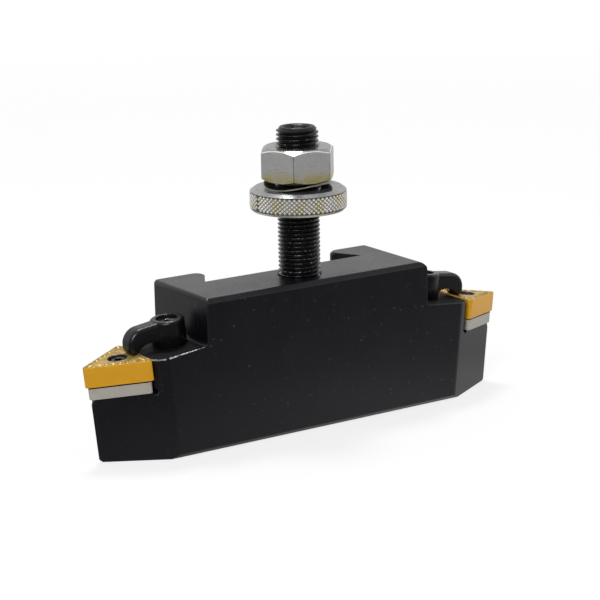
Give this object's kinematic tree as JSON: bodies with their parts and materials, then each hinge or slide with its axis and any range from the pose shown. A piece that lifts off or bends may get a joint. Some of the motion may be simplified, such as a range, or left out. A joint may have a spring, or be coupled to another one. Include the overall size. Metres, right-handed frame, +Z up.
{
  "type": "turning tool holder",
  "caption": "Quick-change lathe tool holder: dovetail back, height stud with thumb wheel and lock nut, and a clamped triangular carbide insert at each end.",
  "frame": {"origin": "centre of the bounding box at the bottom face", "axes": "+X along the holder, +Y from the plain front face towards the dovetail, +Z up along the height stud"},
  "size_m": [0.1154, 0.0272, 0.0707],
  "materials": {
    "black_steel": "black oxide, oiled",
    "plated_steel": "zinc plated",
    "coated_carbide": "gold titanium nitride coating",
    "bare_carbide": "ground carbide"
  },
  "bodies": {
    "holder": {"holder_body": "black_steel", "height_stud": "black_steel", "left_insert": "coated_carbide", "left_shim": "bare_carbide", "right_insert": "coated_carbide", "right_shim": "bare_carbide"},
    "washer": {"spring_washer": "plated_steel"},
    "wheel": {"thumb_wheel": "plated_steel"},
    "nut": {"lock_nut": "plated_steel"},
    "left_clamp_body": {"left_clamp": "black_steel"},
    "left_screw": {"left_clamp_screw": "black_steel"},
    "left_pin": {"left_lock_pin": "black_steel"},
    "right_clamp_body": {"right_clamp": "black_steel"},
    "right_screw": {"right_clamp_screw": "black_steel"},
    "right_pin": {"right_lock_pin": "black_steel"}
  },
  "joints": [
    {"name": "stack_travel", "type": "slide", "parent": "holder", "child": "washer", "axis": [0, 0, 1], "range_m": [-0.0154, 0.00459]},
    {"name": "wheel_spin", "type": "hinge", "parent": "washer", "child": "wheel", "pos_m": [0, -0.00221, 0.0513], "axis": [0, 0, 1], "range_deg": [-5544, 1652.4]},
    {"name": "lock_nut_lift", "type": "slide", "parent": "washer", "child": "nut", "axis": [0, 0, 1], "range_m": [0, 0.004]},
    {"name": "left_clamp_lift", "type": "slide", "parent": "holder", "child": "left_clamp_body", "axis": [-0.1045, 0, 0.9945], "range_m": [0, 0.0024]},
    {"name": "left_clamp_screw_spin", "type": "hinge", "parent": "left_clamp_body", "child": "left_screw", "pos_m": [-0.03555, -0.00221, 0.02487], "axis": [-0.1045, 0, 0.9945], "range_deg": [0, 1080]},
    {"name": "left_lock_pin_turn", "type": "hinge", "parent": "holder", "child": "left_pin", "pos_m": [-0.04903, -0.00221, 0.02345], "axis": [-0.1045, 0, 0.9945], "range_deg": [0, 150]},
    {"name": "right_clamp_lift", "type": "slide", "parent": "holder", "child": "right_clamp_body", "axis": [0.1045, 0, 0.9945], "range_m": [0, 0.0024]},
    {"name": "right_clamp_screw_spin", "type": "hinge", "parent": "right_clamp_body", "child": "right_screw", "pos_m": [0.03555, -0.00221, 0.02487], "axis": [0.1045, 0, 0.9945], "range_deg": [0, 1080]},
    {"name": "right_lock_pin_turn", "type": "hinge", "parent": "holder", "child": "right_pin", "pos_m": [0.04903, -0.00221, 0.02345], "axis": [0.1045, 0, 0.9945], "range_deg": [0, 150]}
  ],
  "couplings": [
    {"joint": "wheel_spin", "follows": "stack_travel", "rad_per_m": 6283.2},
    {"joint": "left_clamp_screw_spin", "follows": "left_clamp_lift", "rad_per_m": 7854},
    {"joint": "right_clamp_screw_spin", "follows": "right_clamp_lift", "rad_per_m": 7854}
  ]
}
